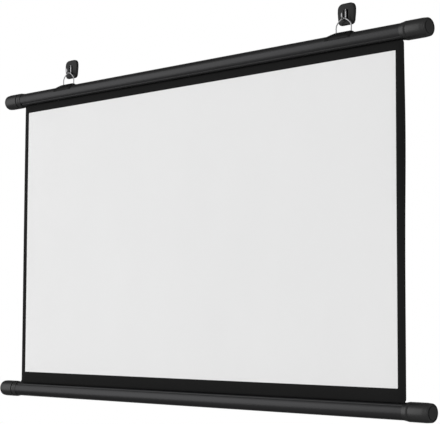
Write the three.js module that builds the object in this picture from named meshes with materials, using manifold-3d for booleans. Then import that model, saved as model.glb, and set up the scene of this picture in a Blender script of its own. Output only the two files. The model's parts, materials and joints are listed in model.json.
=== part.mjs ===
// Pull-down projection screen on two adhesive wall hooks, drawn fully down, in millimetres.
// X runs along the screen to the viewer's right, Y runs back into the wall and Z runs up.
// The origin lies on the wall, on the screen's centre plane, at the height of the hook plates' centres.
import * as THREE from "three";
import { mergeVertices } from "three/addons/utils/BufferGeometryUtils.js";
import Module from "manifold-3d";

const wasm = await Module();
wasm.setup();

// Clearances
const seatGap = 0.3; // between pieces that rest on or fit into each other
const runGap = 0.4; // between pieces that turn on each other
const overrun = 2; // how far a cutting solid passes the face that it cuts

// The picture area and its black borders
const viewHeight = 897;
const topBand = 24.6; // black fabric between the case and the white area
const bottomBand = 36; // black fabric between the white area and the bar
const fabricWidth = 1642;
const fabricThickness = 0.4;

// The round extrusion that makes the case and, turned over, the weight bar
const shellRadius = 23;
const shellWall = 1.4;
const lipOuterRadius = 22.7;
const lipWall = 2.8;
const grooveDepth = 1.6;
const grooveWidth = 2.2;
const grooveDrop = 15.4; // how far below the axis the groove runs
const lipStartDrop = 12.4; // how far below the axis the wall thickens inwards
const slotFront = 4.2; // from the fabric to the front lip
const slotRear = 0.5; // from the fabric to the rear lip
const shellInsert = 40; // from a collar's mouth to the extrusion's end, inside the knob
const shellSteps = 30;
const lipSteps = 4;

// Collars and end knobs, four alike
const capRadius = 26.2;
const collarMouth = 3; // from the fabric's edge to the collar
const collarLength = 20.5;
const collarLip = 0.7;
const flareLength = 18;
const flareSteps = 4;
const capChamfer = 0.8;
const seamWidth = 1.2;
const knobLength = 63.5;
const knobTaperLength = 17; // the outer stretch of a knob, which narrows
const knobTaper = 1.1;
const knobRim = 4.5;
const knobRimSteps = 3;
const knobDome = 0.6;
const knobWall = 2.5;
const capSides = 28;

// Where the case and the bar hang
const caseDrop = 83.5; // from the hook plates' centres down to the case's axis
const wallGap = 1; // between the end caps and the wall
const closedGap = 1.5; // between the two pairs of caps with the screen rolled up
const rollTurns = 10;

// Wall hooks
const leftHangerInset = 229; // from the fabric's edge to the hook's middle
const rightHangerInset = 209;
const plateWidth = 62;
const plateHeight = 62;
const plateThickness = 8.5;
const plateBevel = 3.6;
const plateCornerSteps = 5;
const padThickness = 1.2;
const padInset = 5;
const hookWidth = 5;
const hookThickness = 1.6;
const hookInnerRadius = 8;
const hookTop = 14; // how far the steel strip reaches above the plate's centre
const hookTipTop = 0;
const hookRecess = 1;
const hookArcSteps = 10;
const rivetHeight = 9;
const rivetRadius = 1.3;
const rivetHeadRadius = 2.4;
const rivetHeadHeight = 1;
const rivetDepth = 4.5;

// Hanger rings of bent wire
const wireRadius = 1.6;
const wireSides = 8;
const ringSteps = 38;
const ringHalfWidth = 27;
const archHeight = 19;
const ringFoot = 6;
const ringCorner = 2.6;
const ringSeatGap = 0.8; // between the wire and the hook's seat
const ringApexDrop = 14; // from the plate's centre down to the wire

// Saddles on top of the case, which the rings' feet turn in
const saddleLength = 88;
const saddleRise = 6;
const saddleShift = 4; // how far the outer arc's centre lies above the case's axis
const saddleWrapAngle = (5 * Math.PI) / 12;
const saddleSteps = 14;
const pivotBack = 8.2; // how far the rings' feet lie behind the case's axis
const pivotRise = 3; // from the case's skin up to the rings' feet
const pocketGap = 0.9;
const pocketHalfDepth = 5;
const saddleScrewX = 10;

// Screws
const screwRadius = 1.4;
const screwHeadRadius = 2.7;
const screwHeadHeight = 1.4;
const screwRecess = 1.8;
const screwReach = 1.2; // how far a tip stands out inside the wall
const screwSides = 10;
const knobScrewInset = 12; // from the shell's end

// Roller and what turns with it
const rollerRadius = 12.7;
const rollerWall = 1;
const rollerMargin = 17; // from the fabric's edge to the roller's end
const rollerSides = 24;
const leaderRadius = 13.7; // over the turns that never leave the roller
const plugLength = 20;
const flangeRadius = 14;
const flangeThickness = 4;
const bushLength = 10;

// Fixed spindle, return spring and lock
const spindleRadius = 4;
const spindleSides = 16;
const bladeThickness = 3;
const bladeLength = 10;
const spindleOverhang = 8; // past the shell's end
const spindleLength = 300;
const anchorRadius = 7;
const anchorLength = 14;
const springRadius = 8.2;
const springWire = 0.9;
const springTurns = 18;
const springTurnSteps = 8;
const springSides = 5;
const springInset = 1;
const wheelRadius = 7.6;
const wheelThickness = 5.2;
const notchFront = 0.7;
const notchRear = 4.4;
const notchFloor = 5.1;
const pawlPivotY = -5.5;
const pawlPivotZ = 10.4;
const pawlThickness = 4;
const pawlHalfHeight = 1.4;
const pawlUnderside = 0.9;
const pawlEye = 2.6;
const pawlLength = 9.4;
const pawlTooth = 2;
const pawlToothDrop = 1.8;
const pawlPinRadius = 1.1;
const pawlPinHead = 2;
const pawlPinHeadHeight = 0.8;

// Plates and bush that carry the roller in the case
const bracketRadius = 22.7;
const bracketThickness = 2;
const bushWall = 1.2;
const bushFlange = 8;
const bushFlangeThickness = 1.6;
const bushReach = 2;

// Hem and ballast in the bar
const hemRodRadius = 3.5;
const hemRise = 1; // how far the hem's stem stands above the bar
const hemSteps = 12;
const ballastRadius = 7;
const ballastMargin = 121; // from the fabric's edge to the ballast's end
const ballastSides = 20;

// Shares that shape the plate's outline and the ring's arch
const plateBottomWidthShare = 0.88;
const plateTopCornerShare = 0.28;
const plateBottomCornerShare = 0.22;
const archShares = [
  [0, 0],
  [0.31, 0.14],
  [0.64, 0.44],
  [0.9, 0.83],
  [1, 1.25],
];

// Places worked out from the sizes
const axisY = -(capRadius + wallGap);
const caseZ = -caseDrop;
const whiteTopZ = caseZ - lipOuterRadius - topBand;
const whiteBottomZ = whiteTopZ - viewHeight;
const barZ = whiteBottomZ - bottomBand - lipOuterRadius;
const barTravel = caseZ - barZ - capRadius - capRadius - closedGap;
const halfFabric = fabricWidth / 2;
const collarStart = halfFabric + collarMouth;
const halfShell = collarStart + shellInsert;
const leftHangerX = -halfFabric + leftHangerInset;
const rightHangerX = halfFabric - rightHangerInset;
const collarEnd = collarStart + collarLength;
const knobStart = collarEnd + seamWidth;
const knobEnd = knobStart + knobLength;
const collarBore = shellRadius + seatGap;
const lipInnerRadius = lipOuterRadius - lipWall;
const shellInnerRadius = shellRadius - shellWall;
const plateFrontY = -(padThickness + seatGap + plateThickness);
const hookBackY = plateFrontY + hookRecess - seatGap;
const seatY = hookBackY - hookThickness - hookInnerRadius;
const seatZ = -ringApexDrop - wireRadius - ringSeatGap + hookInnerRadius;
const pivotHeight = Math.sqrt(shellRadius ** 2 - pivotBack ** 2) + pivotRise;
const pivotY = axisY + pivotBack;
const pivotZ = caseZ + pivotHeight;
const ringRise = -ringApexDrop - pivotZ;
const ringReach = seatY - pivotY;
const ringTilt = Math.atan2(ringReach, ringRise);
const ringHeight = Math.hypot(ringReach, ringRise);

const black = { color: 0x1b1b1c, roughness: 0.45, metalness: 0 };
const blackMetal = { color: 0x2a2a2c, roughness: 0.4, metalness: 0.6 };
const steel = { color: 0xb4b6b8, roughness: 0.3, metalness: 1 };
const nylon = { color: 0xd8d6cc, roughness: 0.5, metalness: 0 };
const whiteFabric = { color: 0xe7e7e7, roughness: 0.9, metalness: 0 };
const blackFabric = { color: 0x141414, roughness: 0.9, metalness: 0 };
const foam = { color: 0xcfcfcf, roughness: 0.8, metalness: 0 };

// Turns a closed geometry's faces outwards if they point in
function outward(geometry) {
  const place = geometry.attributes.position;
  const index = geometry.index.array;
  const a = new THREE.Vector3();
  const b = new THREE.Vector3();
  const c = new THREE.Vector3();
  let volume = 0;
  for (let i = 0; i < index.length; i += 3) {
    a.fromBufferAttribute(place, index[i]);
    b.fromBufferAttribute(place, index[i + 1]);
    c.fromBufferAttribute(place, index[i + 2]);
    volume += a.dot(b.cross(c));
  }
  if (volume < 0) {
    for (let i = 0; i < index.length; i += 3) {
      const first = index[i];
      index[i] = index[i + 2];
      index[i + 2] = first;
    }
  }
  return geometry;
}

// Merges the shared corners of a geometry and drops the triangles that have no area
function closed(geometry) {
  const bare = geometry.clone();
  bare.deleteAttribute("normal");
  bare.deleteAttribute("uv");
  const merged = mergeVertices(bare);
  const old = merged.index.array;
  const kept = [];
  for (let i = 0; i < old.length; i += 3) {
    const [a, b, c] = [old[i], old[i + 1], old[i + 2]];
    if (a !== b && b !== c && c !== a) {
      kept.push(a, b, c);
    }
  }
  merged.setIndex(kept);
  return outward(merged);
}

function solid(geometry) {
  const merged = closed(geometry);
  const vertProperties = new Float32Array(merged.attributes.position.array);
  const triVerts = new Uint32Array(merged.index.array);
  return new wasm.Manifold(new wasm.Mesh({ numProp: 3, vertProperties, triVerts }));
}

function shown(manifold) {
  const mesh = manifold.getMesh();
  const geometry = new THREE.BufferGeometry();
  geometry.setAttribute("position", new THREE.BufferAttribute(mesh.vertProperties, 3));
  geometry.setIndex(new THREE.BufferAttribute(mesh.triVerts, 1));
  return geometry;
}

function cut(geometry, ...tools) {
  let left = solid(geometry);
  for (const tool of tools) {
    left = left.subtract(solid(tool));
  }
  return shown(left);
}

function box(lowX, highX, lowY, highY, lowZ, highZ) {
  const geometry = new THREE.BoxGeometry(highX - lowX, highY - lowY, highZ - lowZ);
  return geometry.translate((lowX + highX) / 2, (lowY + highY) / 2, (lowZ + highZ) / 2);
}

// An outline drawn in Y and Z, extruded along X from one place to another
function alongX(shape, fromX, toX) {
  const geometry = new THREE.ExtrudeGeometry(shape, { depth: toX - fromX, bevelEnabled: false });
  const turn = new THREE.Matrix4().makeBasis(
    new THREE.Vector3(0, 1, 0),
    new THREE.Vector3(0, 0, 1),
    new THREE.Vector3(1, 0, 0),
  );
  return geometry.applyMatrix4(turn).translate(fromX, 0, 0);
}

function rodX(radius, fromX, toX, sides) {
  const geometry = new THREE.CylinderGeometry(radius, radius, toX - fromX, sides);
  return geometry.rotateZ(-Math.PI / 2).translate((fromX + toX) / 2, 0, 0);
}

// A profile of [radius, place along X] turned round the X axis
function turnedX(profile, sides) {
  const points = profile.map(([radius, x]) => new THREE.Vector2(radius, x));
  return new THREE.LatheGeometry(points, sides).rotateZ(-Math.PI / 2);
}

function ringX(innerRadius, outerRadius, fromX, toX, sides) {
  const profile = [
    [innerRadius, fromX],
    [outerRadius, fromX],
    [outerRadius, toX],
    [innerRadius, toX],
    [innerRadius, fromX],
  ];
  return turnedX(profile, sides);
}

// Points on an arc, both ends included
function arc(radius, from, to, steps, y = 0, z = 0) {
  const points = [];
  for (let i = 0; i <= steps; i += 1) {
    const angle = from + ((to - from) * i) / steps;
    points.push(new THREE.Vector2(y + radius * Math.cos(angle), z + radius * Math.sin(angle)));
  }
  return points;
}

function circleHole(radius, steps, y, z) {
  return new THREE.Path(arc(radius, 0, 2 * Math.PI, steps, y, z).slice(0, -1));
}

// A screw with a flat head whose top lies at height zero and whose shank runs down Z
function screw(length) {
  const profile = [
    [0, -length],
    [screwRadius, -length],
    [screwRadius, -screwHeadHeight],
    [screwHeadRadius, -screwHeadHeight],
    [screwHeadRadius, 0],
    [0, 0],
  ];
  return turnedX(profile, screwSides).rotateY(-Math.PI / 2);
}

function node(name, geometry, look) {
  const mesh = new THREE.Mesh(closed(geometry), new THREE.MeshStandardMaterial(look));
  mesh.name = name;
  return mesh;
}

// The extrusion's section, with its slot at the bottom
function shellSection() {
  const down = -Math.PI / 2;
  const groove = Math.asin(grooveDrop / shellRadius);
  const grooveHalf = grooveWidth / 2 / shellRadius;
  const step = Math.asin(lipStartDrop / shellInnerRadius);
  const floor = shellRadius - grooveDepth;
  const rearOuter = down + Math.asin(slotRear / lipOuterRadius);
  const frontOuter = down + 2 * Math.PI - Math.asin(slotFront / lipOuterRadius);
  const rearInner = down + Math.asin(slotRear / lipInnerRadius);
  const frontInner = down + 2 * Math.PI - Math.asin(slotFront / lipInnerRadius);
  return new THREE.Shape([
    ...arc(lipOuterRadius, rearOuter, -groove - grooveHalf, lipSteps),
    ...arc(floor, -groove - grooveHalf, -groove + grooveHalf, 1),
    ...arc(shellRadius, -groove + grooveHalf, Math.PI + groove - grooveHalf, shellSteps),
    ...arc(floor, Math.PI + groove - grooveHalf, Math.PI + groove + grooveHalf, 1),
    ...arc(lipOuterRadius, Math.PI + groove + grooveHalf, frontOuter, lipSteps),
    ...arc(lipInnerRadius, frontInner, Math.PI + step, lipSteps),
    ...arc(shellInnerRadius, Math.PI + step, -step, shellSteps),
    ...arc(lipInnerRadius, -step, rearInner, lipSteps),
  ]);
}

// A hole across the wall for a screw that comes in from above or, turned, from behind
function screwHole(top, bottom) {
  const radius = screwRadius + seatGap;
  const geometry = new THREE.CylinderGeometry(radius, radius, top - bottom, screwSides);
  return geometry.rotateX(Math.PI / 2).translate(0, 0, (top + bottom) / 2);
}

function screwRecessTool(top, floor) {
  const radius = screwHeadRadius + seatGap;
  const geometry = new THREE.CylinderGeometry(radius, radius, top - floor, screwSides);
  return geometry.rotateX(Math.PI / 2).translate(0, 0, (top + floor) / 2);
}

// Screws that hold the knobs come in from behind, along Y
const knobScrewX = halfShell - knobScrewInset;
const knobScrewTopY = capRadius - screwRecess + seatGap + screwHeadHeight;
const knobScrewLength = knobScrewTopY - shellInnerRadius + screwReach;

function fromBehind(geometry, x) {
  return geometry.rotateX(-Math.PI / 2).translate(x, 0, 0);
}

function shellTube(extraTools) {
  const tools = [-knobScrewX, knobScrewX].map((x) =>
    fromBehind(screwHole(shellRadius + overrun, shellInnerRadius - overrun), x),
  );
  return cut(alongX(shellSection(), -halfShell, halfShell), ...tools, ...extraTools);
}

function collar(side) {
  const flare = [];
  for (let i = 0; i <= flareSteps; i += 1) {
    const share = (1 - Math.cos((Math.PI * i) / flareSteps)) / 2;
    const radius = collarBore + collarLip + (capRadius - collarBore - collarLip) * share;
    flare.push([radius, collarStart + (flareLength * i) / flareSteps]);
  }
  const profile = [
    [collarBore, collarStart],
    ...flare,
    [capRadius, collarEnd - capChamfer],
    [capRadius - capChamfer, collarEnd],
    [collarBore, collarEnd],
    [collarBore, collarStart],
  ];
  return turnedX(profile, capSides).scale(side, 1, 1);
}

// A knob fits over the extrusion's end and closes it, with a shoulder that holds the bracket plate
function knob(side) {
  const hollow = collarBore - knobWall;
  const shoulder = halfShell + seatGap + bracketThickness + seatGap;
  const endRadius = capRadius - knobTaper;
  const rim = arc(knobRim, 0, Math.PI / 2, knobRimSteps, endRadius - knobRim, knobEnd - knobDome - knobRim);
  const profile = [
    [0, knobEnd - knobDome - knobWall],
    [hollow, knobEnd - knobDome - knobWall],
    [hollow, shoulder],
    [collarBore, shoulder],
    [collarBore, knobStart],
    [capRadius - capChamfer, knobStart],
    [capRadius, knobStart + capChamfer],
    [capRadius, knobEnd - knobTaperLength],
    ...rim.map((point) => [point.x, point.y]),
    [0, knobEnd],
  ];
  const recess = fromBehind(screwRecessTool(capRadius + overrun, capRadius - screwRecess), knobScrewX);
  const hole = fromBehind(screwHole(capRadius + overrun, shellInnerRadius - overrun), knobScrewX);
  return cut(turnedX(profile, capSides), recess, hole).scale(side, 1, 1);
}

// Wall hooks
function plateOutline(inset) {
  const top = plateHeight / 2 - inset;
  const halfTop = plateWidth / 2 - inset;
  const halfBottom = halfTop * plateBottomWidthShare;
  const topCorner = plateWidth * plateTopCornerShare;
  const bottomCorner = plateWidth * plateBottomCornerShare;
  const narrowing = (halfTop - halfBottom) / (top + top - topCorner);
  const halfLow = halfBottom + narrowing * bottomCorner;
  const shape = new THREE.Shape();
  shape.moveTo(halfTop, top - topCorner);
  shape.quadraticCurveTo(halfTop, top, halfTop - topCorner, top);
  shape.lineTo(-halfTop + topCorner, top);
  shape.quadraticCurveTo(-halfTop, top, -halfTop, top - topCorner);
  shape.lineTo(-halfLow, -top + bottomCorner);
  shape.quadraticCurveTo(-halfBottom, -top, -halfBottom + bottomCorner, -top);
  shape.lineTo(halfBottom - bottomCorner, -top);
  shape.quadraticCurveTo(halfBottom, -top, halfLow, -top + bottomCorner);
  return shape;
}

function hookPlate() {
  const backY = -(padThickness + seatGap);
  const settings = {
    depth: plateThickness,
    bevelThickness: plateBevel,
    bevelSize: plateBevel,
    bevelOffset: 0,
    bevelSegments: 3,
    curveSegments: plateCornerSteps,
  };
  const body = new THREE.ExtrudeGeometry(plateOutline(plateBevel), settings);
  body.rotateX(Math.PI / 2).translate(0, plateFrontY + plateBevel + plateThickness, 0);
  const behind = box(-plateWidth, plateWidth, backY, backY + plateThickness + plateBevel, -plateHeight, plateHeight);
  const halfRecess = hookWidth / 2 + seatGap;
  const recess = box(
    -halfRecess,
    halfRecess,
    plateFrontY - overrun,
    plateFrontY + hookRecess,
    seatZ - hookInnerRadius,
    hookTop + seatGap,
  );
  const hole = new THREE.CylinderGeometry(
    rivetRadius + seatGap,
    rivetRadius + seatGap,
    rivetDepth + seatGap,
    screwSides,
  ).translate(0, plateFrontY + hookRecess + (rivetDepth + seatGap) / 2 - seatGap, rivetHeight);
  return cut(body, behind, recess, hole);
}

function hookPad() {
  const settings = { depth: padThickness, bevelEnabled: false, curveSegments: plateCornerSteps };
  return new THREE.ExtrudeGeometry(plateOutline(padInset), settings).rotateX(Math.PI / 2);
}

function hookArm() {
  const outer = hookInnerRadius + hookThickness;
  const shape = new THREE.Shape([
    new THREE.Vector2(hookBackY, hookTop),
    new THREE.Vector2(hookBackY - hookThickness, hookTop),
    ...arc(hookInnerRadius, 0, -Math.PI, hookArcSteps, seatY, seatZ),
    new THREE.Vector2(seatY - hookInnerRadius, hookTipTop),
    new THREE.Vector2(seatY - outer, hookTipTop),
    ...arc(outer, -Math.PI, 0, hookArcSteps, seatY, seatZ),
  ]);
  const radius = rivetRadius + seatGap;
  const hole = new THREE.CylinderGeometry(radius, radius, hookThickness + overrun, screwSides);
  hole.translate(0, hookBackY - hookThickness / 2, rivetHeight);
  return cut(alongX(shape, -hookWidth / 2, hookWidth / 2), hole);
}

function hookRivet() {
  const seat = hookBackY - hookThickness - seatGap;
  const tip = plateFrontY + hookRecess + rivetDepth - seatGap - seatGap;
  const points = [
    new THREE.Vector2(0, tip),
    new THREE.Vector2(rivetRadius, tip),
    new THREE.Vector2(rivetRadius, seat),
    new THREE.Vector2(rivetHeadRadius, seat),
    new THREE.Vector2(rivetHeadRadius, seat - rivetHeadHeight / 2),
    new THREE.Vector2(rivetRadius, seat - rivetHeadHeight),
    new THREE.Vector2(0, seat - rivetHeadHeight),
  ];
  return new THREE.LatheGeometry(points, screwSides).translate(0, 0, rivetHeight);
}

// A ring of bent wire with its top at the origin and its two feet turned in at the bottom
function hangerRing() {
  const half = archShares.map(([x, z]) => [ringHalfWidth * x, -archHeight * z]);
  half.push([ringHalfWidth, -(archHeight + ringHeight) / 2]);
  half.push([ringHalfWidth, -ringHeight + ringCorner]);
  half.push([ringHalfWidth - ringCorner * (1 - Math.SQRT1_2), -ringHeight + ringCorner * (1 - Math.SQRT1_2)]);
  half.push([ringHalfWidth - ringCorner, -ringHeight]);
  half.push([ringHalfWidth - ringFoot, -ringHeight]);
  const right = half.map(([x, z]) => new THREE.Vector3(x, 0, z));
  const left = half.slice(1).map(([x, z]) => new THREE.Vector3(-x, 0, z));
  const path = new THREE.CatmullRomCurve3([...left.reverse(), ...right]);
  const section = new THREE.Shape(arc(wireRadius, 0, 2 * Math.PI, wireSides).slice(0, -1));
  return new THREE.ExtrudeGeometry(section, { steps: ringSteps, extrudePath: path });
}

// Saddle in the case's own frame
function saddle() {
  const wrap = saddleWrapAngle;
  const up = Math.PI / 2;
  const outerRadius = shellRadius + saddleRise - saddleShift;
  const shape = new THREE.Shape([
    ...arc(shellRadius + seatGap, up - wrap, up + wrap, saddleSteps),
    ...arc(outerRadius, up + wrap, up - wrap, saddleSteps, 0, saddleShift),
  ]);
  const top = shellRadius + saddleRise;
  const tools = [];
  for (const side of [-1, 1]) {
    const pocketIn = ringHalfWidth - wireRadius - pocketGap;
    const pocketOut = ringHalfWidth + wireRadius + pocketGap;
    const low = Math.min(side * pocketIn, side * pocketOut);
    const high = Math.max(side * pocketIn, side * pocketOut);
    const front = pivotBack - pocketHalfDepth;
    const back = pivotBack + pocketHalfDepth;
    const floor = Math.sqrt(shellRadius ** 2 - back ** 2) - overrun;
    tools.push(box(low, high, front, back, floor, top + overrun));
    const boreIn = side * (ringHalfWidth - ringFoot - pocketGap);
    const boreOut = side * ringHalfWidth;
    const bore = rodX(wireRadius + runGap, Math.min(boreIn, boreOut), Math.max(boreIn, boreOut), spindleSides);
    tools.push(bore.translate(0, pivotBack, pivotHeight));
    tools.push(screwRecessTool(top + overrun, top - screwRecess).translate(side * saddleScrewX, 0, 0));
    tools.push(screwHole(top + overrun, shellRadius - overrun).translate(side * saddleScrewX, 0, 0));
  }
  return cut(alongX(shape, -saddleLength / 2, saddleLength / 2), ...tools);
}

const saddleScrewTop = shellRadius + saddleRise - screwRecess + seatGap + screwHeadHeight;
const saddleScrewLength = saddleScrewTop - shellInnerRadius + screwReach;

// Return spring round the spindle
class Helix extends THREE.Curve {
  constructor(fromX, toX) {
    super();
    this.fromX = fromX;
    this.toX = toX;
  }

  getPoint(t, target = new THREE.Vector3()) {
    const angle = 2 * Math.PI * springTurns * t;
    const x = this.fromX + (this.toX - this.fromX) * t;
    return target.set(x, springRadius * Math.cos(angle), springRadius * Math.sin(angle));
  }
}

function returnSpring(fromX, toX) {
  const section = new THREE.Shape(arc(springWire, 0, 2 * Math.PI, springSides).slice(0, -1));
  const steps = springTurns * springTurnSteps;
  return new THREE.ExtrudeGeometry(section, { steps, extrudePath: new Helix(fromX, toX) });
}

// Lock pawl round its own pivot, its tooth held just off the wheel
function pawl(fromX, toX) {
  const shape = new THREE.Shape([
    ...arc(pawlEye, Math.PI / 2, (3 * Math.PI) / 2, lipSteps),
    new THREE.Vector2(pawlHalfHeight, -pawlUnderside),
    new THREE.Vector2(pawlLength - pawlTooth, -pawlUnderside),
    new THREE.Vector2(pawlLength - pawlTooth, -pawlToothDrop),
    new THREE.Vector2(pawlLength, -pawlToothDrop),
    new THREE.Vector2(pawlLength, pawlHalfHeight),
    new THREE.Vector2(pawlHalfHeight, pawlHalfHeight),
  ]);
  shape.holes.push(circleHole(pawlPinRadius + runGap, screwSides, 0, 0));
  return alongX(shape, fromX, toX);
}

function pawlPin(headX, tipX) {
  const profile = [
    [0, headX],
    [pawlPinHead, headX],
    [pawlPinHead, headX + pawlPinHeadHeight],
    [pawlPinRadius, headX + pawlPinHeadHeight],
    [pawlPinRadius, tipX],
    [0, tipX],
  ];
  return turnedX(profile, screwSides);
}

// Places along the roller
const halfRoller = halfFabric + rollerMargin;
const rollerBore = rollerRadius - rollerWall;
const flangeX = -halfRoller - seatGap - flangeThickness;
const pawlEndX = flangeX - seatGap;
const pawlStartX = pawlEndX - pawlThickness;
const pinHeadX = pawlStartX - seatGap - pawlPinHeadHeight;
const wheelEndX = flangeX - seatGap;
const wheelStartX = wheelEndX - wheelThickness;
const spindleStartX = -halfShell - spindleOverhang;
const spindleEndX = spindleStartX + spindleLength;
const bushEndX = spindleEndX + seatGap;
const bushStartX = bushEndX - bushLength;
const anchorEndX = bushStartX - runGap;
const anchorStartX = anchorEndX - anchorLength;
const plugInnerX = -halfRoller + plugLength;
const bracketX = halfShell + seatGap;

function pawlPlug() {
  const profile = [
    [spindleRadius + runGap, flangeX],
    [flangeRadius, flangeX],
    [flangeRadius, flangeX + flangeThickness],
    [rollerBore - seatGap, flangeX + flangeThickness],
    [rollerBore - seatGap, plugInnerX],
    [spindleRadius + runGap, plugInnerX],
    [spindleRadius + runGap, flangeX],
  ];
  const tools = [-1, 1].map((side) => {
    const hole = rodX(pawlPinRadius + seatGap, flangeX - overrun, flangeX + flangeThickness + overrun, screwSides);
    return hole.translate(0, side * pawlPivotY, side * pawlPivotZ);
  });
  return cut(turnedX(profile, rollerSides), ...tools);
}

function idlePlug() {
  const profile = [
    [spindleRadius + seatGap, plugInnerX],
    [rollerBore - seatGap, plugInnerX],
    [rollerBore - seatGap, flangeX + flangeThickness],
    [flangeRadius, flangeX + flangeThickness],
    [flangeRadius, flangeX],
    [spindleRadius + seatGap, flangeX],
    [spindleRadius + seatGap, plugInnerX],
  ];
  return turnedX(profile.map(([radius, x]) => [radius, -x]), rollerSides);
}

function spindle() {
  const bladeEndX = spindleStartX + spindleOverhang + bladeLength;
  const half = bladeThickness / 2;
  const reach = spindleRadius + overrun;
  return cut(
    rodX(spindleRadius, spindleStartX, spindleEndX, spindleSides),
    box(spindleStartX - overrun, bladeEndX, -reach, reach, half, reach),
    box(spindleStartX - overrun, bladeEndX, -reach, reach, -reach, -half),
  );
}

function lockWheel() {
  const bore = spindleRadius + seatGap;
  const wheel = ringX(bore, wheelRadius, wheelStartX, wheelEndX, rollerSides);
  const low = wheelStartX - overrun;
  const high = wheelEndX + overrun;
  return cut(
    wheel,
    box(low, high, -notchFront, notchRear, notchFloor, wheelRadius + overrun),
    box(low, high, -notchRear, notchFront, -wheelRadius - overrun, -notchFloor),
  );
}

function bladeBracket() {
  const half = bladeThickness / 2 + seatGap;
  const reach = spindleRadius + seatGap;
  const low = -bracketX - bracketThickness;
  const disc = rodX(bracketRadius, low, -bracketX, capSides);
  return cut(disc, box(low - overrun, -bracketX + overrun, -reach, reach, -half, half));
}

const bushRadius = spindleRadius + runGap + bushWall;

function idleBush() {
  const inner = bracketX - seatGap - bushFlangeThickness;
  const profile = [
    [spindleRadius + runGap, inner],
    [bushFlange, inner],
    [bushFlange, bracketX - seatGap],
    [bushRadius, bracketX - seatGap],
    [bushRadius, bracketX + bracketThickness + bushReach],
    [spindleRadius + runGap, bracketX + bracketThickness + bushReach],
    [spindleRadius + runGap, inner],
  ];
  return turnedX(profile, spindleSides);
}

// Fabric between the roller and the slot, leaving the back of the roll
function fabricLeader() {
  const half = fabricThickness / 2;
  const bendZ = -lipInnerRadius + lipWall / 2;
  const clear = leaderRadius + seatGap + half;
  const angle = -Math.PI / 2 + Math.acos(clear / -bendZ);
  const startY = clear * Math.cos(angle);
  const startZ = clear * Math.sin(angle);
  const away = new THREE.Vector2(Math.cos(angle), Math.sin(angle)).multiplyScalar(half);
  const endZ = -lipInnerRadius;
  const shape = new THREE.Shape([
    new THREE.Vector2(startY + away.x, startZ + away.y),
    new THREE.Vector2(half, bendZ - half * Math.tan(angle + Math.PI / 2)),
    new THREE.Vector2(half, endZ),
    new THREE.Vector2(-half, endZ),
    new THREE.Vector2(-half, bendZ),
    new THREE.Vector2(startY - away.x, startZ - away.y),
  ]);
  return alongX(shape, -halfFabric, halfFabric);
}

// Hem looped round its rod, under the bar's front lip, in the bar's own frame
const hemInner = hemRodRadius + seatGap;
const hemOuter = hemInner + fabricThickness;
const hemY = fabricThickness / 2 - hemOuter;
const hemZ = Math.sqrt((lipInnerRadius - seatGap - hemOuter) ** 2 - hemY ** 2);
const hemTop = lipOuterRadius + hemRise;

function fabricHem() {
  const half = fabricThickness / 2;
  const meet = Math.acos((-half - hemY) / hemOuter);
  const shape = new THREE.Shape([
    new THREE.Vector2(half, hemTop),
    new THREE.Vector2(-half, hemTop),
    ...arc(hemOuter, meet, 2 * Math.PI, hemSteps, hemY, hemZ),
  ]);
  shape.holes.push(circleHole(hemInner, hemSteps, hemY, hemZ));
  return alongX(shape, -halfFabric, halfFabric);
}

// Wall hooks and rings
const group = new THREE.Group();
const hangers = [
  ["left", leftHangerX],
  ["right", rightHangerX],
];
for (const [side, x] of hangers) {
  const hook = new THREE.Group();
  hook.position.set(x, 0, 0);
  hook.add(node(`${side}_hook_plate`, hookPlate(), black));
  hook.add(node(`${side}_hook_pad`, hookPad(), foam));
  hook.add(node(`${side}_hook_arm`, hookArm(), steel));
  hook.add(node(`${side}_hook_rivet`, hookRivet(), steel));
  group.add(hook);
  const ring = new THREE.Group();
  ring.position.set(x, seatY, -ringApexDrop);
  ring.rotation.x = -ringTilt;
  ring.add(node(`${side}_hanger_ring`, hangerRing(), steel));
  group.add(ring);
}

// Case with its saddles, caps and the roller's supports
const screenCase = new THREE.Group();
screenCase.position.set(0, axisY, caseZ);
const saddleHoles = [];
for (const [side, x] of hangers) {
  screenCase.add(node(`${side}_saddle`, saddle().translate(x, 0, 0), black));
  for (const [end, offset] of [["outer", -saddleScrewX], ["inner", saddleScrewX]]) {
    const place = x + offset;
    const fastener = screw(saddleScrewLength).translate(place, 0, saddleScrewTop);
    screenCase.add(node(`${side}_saddle_screw_${end}`, fastener, steel));
    saddleHoles.push(screwHole(shellRadius + overrun, shellInnerRadius - overrun).translate(place, 0, 0));
  }
}
screenCase.add(node("case_tube", shellTube(saddleHoles), blackMetal));
screenCase.add(node("left_roller_bracket", bladeBracket(), steel));
const idleDisc = ringX(bushRadius + seatGap, bracketRadius, bracketX, bracketX + bracketThickness, capSides);
screenCase.add(node("right_roller_bracket", idleDisc, steel));
screenCase.add(node("idle_bush", idleBush(), nylon));
screenCase.add(node("spindle", spindle(), steel));
screenCase.add(node("lock_wheel", lockWheel(), steel));
const anchor = ringX(spindleRadius + seatGap, anchorRadius, anchorStartX, anchorEndX, rollerSides);
screenCase.add(node("spring_anchor", anchor, nylon));
const springStartX = plugInnerX + springInset;
const springEndX = anchorStartX - springInset;
screenCase.add(node("return_spring", returnSpring(springStartX, springEndX), steel));
screenCase.add(node("fabric_leader", fabricLeader(), blackFabric));
const sheetTop = -lipInnerRadius - seatGap;
const sheetBottom = barZ - caseZ + hemTop + seatGap;
const half = fabricThickness / 2;
const sheet = box(-halfFabric, halfFabric, -half, half, sheetBottom, sheetTop);
screenCase.add(node("screen_fabric", sheet, whiteFabric));
group.add(screenCase);

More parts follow.
